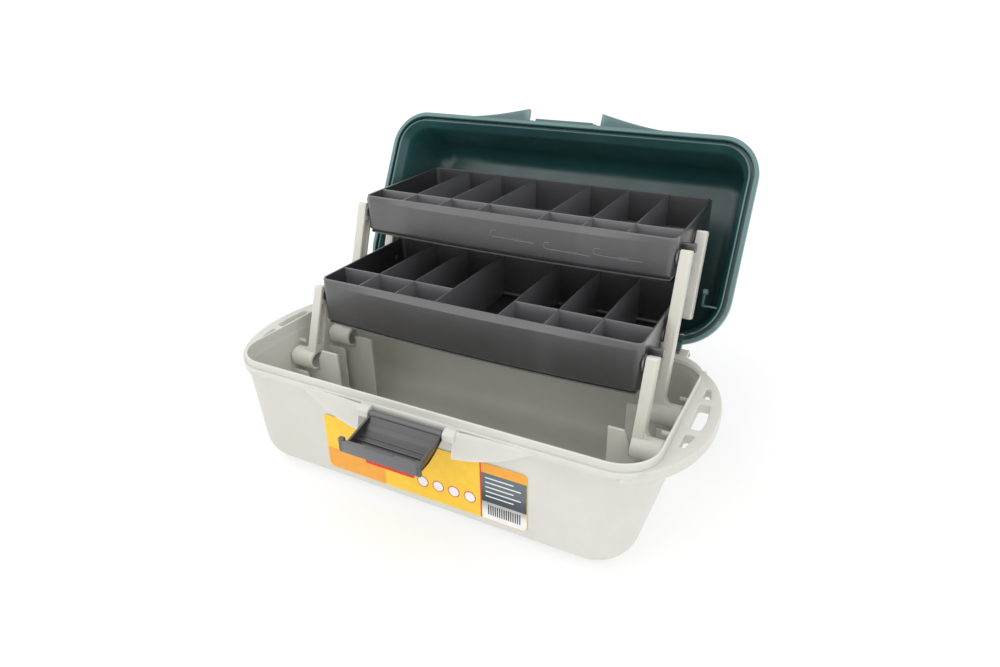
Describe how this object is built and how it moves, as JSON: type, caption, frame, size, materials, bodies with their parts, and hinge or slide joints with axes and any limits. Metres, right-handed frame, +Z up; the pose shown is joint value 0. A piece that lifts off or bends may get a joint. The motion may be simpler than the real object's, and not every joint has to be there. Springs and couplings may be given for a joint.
{
  "type": "tackle box",
  "caption": "Open cantilever tackle box: moulded tub with end handles, domed hinged lid, linked rising trays with divided compartments, and a front latch.",
  "frame": {"origin": "centre of the tub's flat underside", "axes": "+X to the box's right-hand end, +Y towards the lid hinge, +Z up"},
  "size_m": [0.43, 0.3963, 0.281],
  "materials": {
    "ivory_plastic": "satin moulded polypropylene",
    "green_plastic": "semi-gloss moulded polypropylene",
    "charcoal_plastic": "satin moulded polypropylene",
    "label_print": "glossy printed sheet",
    "steel_pin": "drawn wire"
  },
  "bodies": {
    "base": {"base_tub": "ivory_plastic", "front_label": "label_print", "lid_hinge_pin_right": "steel_pin", "lid_hinge_pin_left": "steel_pin", "latch_pin": "steel_pin"},
    "lid": {"lid_shell": "green_plastic"},
    "front_arms": {"front_arm_right": "ivory_plastic", "front_arm_left": "ivory_plastic", "front_arm_pin_right": "charcoal_plastic", "front_arm_pin_left": "charcoal_plastic"},
    "rear_arms": {"rear_arm_right": "ivory_plastic", "rear_arm_left": "ivory_plastic", "rear_arm_mid_pin_right": "charcoal_plastic", "rear_arm_mid_pin_left": "charcoal_plastic", "rear_arm_top_pin_right": "charcoal_plastic", "rear_arm_top_pin_left": "charcoal_plastic"},
    "lower_tray": {"lower_tray": "charcoal_plastic"},
    "upper_tray": {"upper_tray": "charcoal_plastic"},
    "rear_links": {"rear_link_right": "ivory_plastic", "rear_link_left": "ivory_plastic", "link_lower_pin_right": "charcoal_plastic", "link_lower_pin_left": "charcoal_plastic", "link_upper_pin_right": "charcoal_plastic", "link_upper_pin_left": "charcoal_plastic"},
    "latch": {"latch_flap": "charcoal_plastic"}
  },
  "joints": [
    {"name": "lid_hinge", "type": "hinge", "parent": "base", "child": "lid", "pos_m": [0, 0.1095, 0.095], "axis": [1, 0, 0], "range_deg": [0, 118]},
    {"name": "front_arm_pivot", "type": "hinge", "parent": "base", "child": "front_arms", "pos_m": [0, -0.0125, 0.0715], "axis": [1, 0, 0], "range_deg": [0, 72.7]},
    {"name": "rear_arm_pivot", "type": "hinge", "parent": "base", "child": "rear_arms", "pos_m": [0, 0.043, 0.0715], "axis": [1, 0, 0], "range_deg": [0, 72.7]},
    {"name": "lower_tray_pivot", "type": "hinge", "parent": "rear_arms", "child": "lower_tray", "pos_m": [0, 0.06453, 0.1323], "axis": [1, 0, 0], "range_deg": [-72.7, 0]},
    {"name": "upper_tray_pivot", "type": "hinge", "parent": "rear_arms", "child": "upper_tray", "pos_m": [0, 0.08606, 0.1931], "axis": [1, 0, 0], "range_deg": [-72.7, 0]},
    {"name": "rear_link_pivot", "type": "hinge", "parent": "lower_tray", "child": "rear_links", "pos_m": [0, 0.12053, 0.1323], "axis": [1, 0, 0], "range_deg": [0, 72.7]},
    {"name": "latch_hinge", "type": "hinge", "parent": "base", "child": "latch", "pos_m": [0, -0.0916, 0.0915], "axis": [1, 0, 0], "range_deg": [-95, 0]}
  ],
  "couplings": [
    {"joint": "front_arm_pivot", "follows": "lid_hinge", "ratio": 0.61551},
    {"joint": "rear_arm_pivot", "follows": "lid_hinge", "ratio": 0.61551},
    {"joint": "lower_tray_pivot", "follows": "lid_hinge", "ratio": -0.61551},
    {"joint": "upper_tray_pivot", "follows": "lid_hinge", "ratio": -0.61551},
    {"joint": "rear_link_pivot", "follows": "lid_hinge", "ratio": 0.61551}
  ]
}
